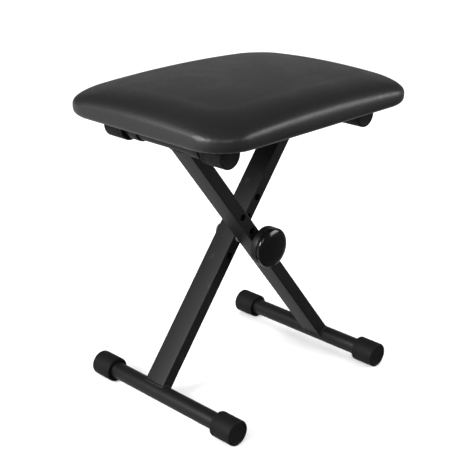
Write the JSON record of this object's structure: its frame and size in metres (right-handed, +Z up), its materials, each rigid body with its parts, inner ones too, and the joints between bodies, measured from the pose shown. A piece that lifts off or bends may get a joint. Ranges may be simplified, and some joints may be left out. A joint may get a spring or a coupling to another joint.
{
  "type": "folding keyboard bench",
  "caption": "Padded rectangular bench seat on a folding X frame of two crossed tube legs with round foot bars, rubber end caps and a clamp knob at the pivot.",
  "frame": {"origin": "on the floor, under the pivot and the middle of the seat", "axes": "+X along the seat's long side, +Y to the rear (the knob is at -Y), +Z up"},
  "size_m": [0.4068, 0.324, 0.4778],
  "materials": {
    "cover_vinyl": "black vinyl with a fine leather grain, satin",
    "seat_foam": "pale upholstery foam",
    "plywood": "raw plywood",
    "dust_cloth": "thin black non-woven cloth",
    "powder_coat": "satin black powder coat",
    "cap_rubber": "matte black moulded rubber",
    "knob_plastic": "glossy black plastic",
    "nylon": "black nylon",
    "zinc_steel": "bright zinc plating",
    "insert_brass": "plain brass"
  },
  "bodies": {
    "seat": {"seat_cover": "cover_vinyl", "seat_foam": "seat_foam", "seat_board": "plywood", "dust_cover": "dust_cloth", "hinge_saddle_front": "nylon", "hinge_saddle_rear": "nylon", "hinge_strap_front": "powder_coat", "hinge_strap_rear": "powder_coat", "glide_pad_front": "nylon", "glide_pad_rear": "nylon", "strap_screw_front_outer": "zinc_steel", "strap_screw_front_inner": "zinc_steel", "strap_screw_rear_outer": "zinc_steel", "strap_screw_rear_inner": "zinc_steel", "tee_nut_front_outer": "zinc_steel", "tee_nut_front_inner": "zinc_steel", "tee_nut_rear_outer": "zinc_steel", "tee_nut_rear_inner": "zinc_steel", "pad_screw_front_outer": "zinc_steel", "pad_screw_front_inner": "zinc_steel", "pad_screw_rear_outer": "zinc_steel", "pad_screw_rear_inner": "zinc_steel"},
    "front_frame": {"front_leg": "powder_coat", "front_crush_sleeve": "zinc_steel", "front_friction_washer": "zinc_steel", "right_foot_bar": "powder_coat", "right_foot_cap_front": "cap_rubber", "right_foot_cap_rear": "cap_rubber", "left_top_bar": "powder_coat", "left_top_cap_front": "cap_rubber", "left_top_cap_rear": "cap_rubber"},
    "rear_frame": {"rear_leg": "powder_coat", "rear_crush_sleeve": "zinc_steel", "rear_friction_washer": "zinc_steel", "pivot_bolt": "zinc_steel", "left_foot_bar": "powder_coat", "left_foot_cap_front": "cap_rubber", "left_foot_cap_rear": "cap_rubber", "right_top_bar": "powder_coat", "right_top_cap_front": "cap_rubber", "right_top_cap_rear": "cap_rubber"},
    "sliding_washer": {"knob_washer": "zinc_steel"},
    "knob": {"knob_body": "knob_plastic", "knob_cap": "knob_plastic", "knob_insert": "insert_brass"}
  },
  "joints": [
    {"name": "front_leg_fold", "type": "hinge", "parent": "seat", "child": "front_frame", "pos_m": [-0.14094, 0, 0.40801], "axis": [0, -1, 0], "range_deg": [-5, 47.4]},
    {"name": "scissor_pivot", "type": "hinge", "parent": "front_frame", "child": "rear_frame", "pos_m": [0, 0, 0.225], "axis": [0, 1, 0], "range_deg": [-10, 94.8]},
    {"name": "knob_travel", "type": "slide", "parent": "rear_frame", "child": "sliding_washer", "axis": [0, -1, 0], "range_m": [0, 0.0045]},
    {"name": "knob_turn", "type": "hinge", "parent": "sliding_washer", "child": "knob", "pos_m": [0, -0.05, 0.225], "axis": [0, -1, 0], "range_deg": [0, 1080]}
  ],
  "couplings": [
    {"joint": "scissor_pivot", "follows": "front_leg_fold", "ratio": 2},
    {"joint": "knob_turn", "follows": "knob_travel", "rad_per_m": 4188.8}
  ]
}
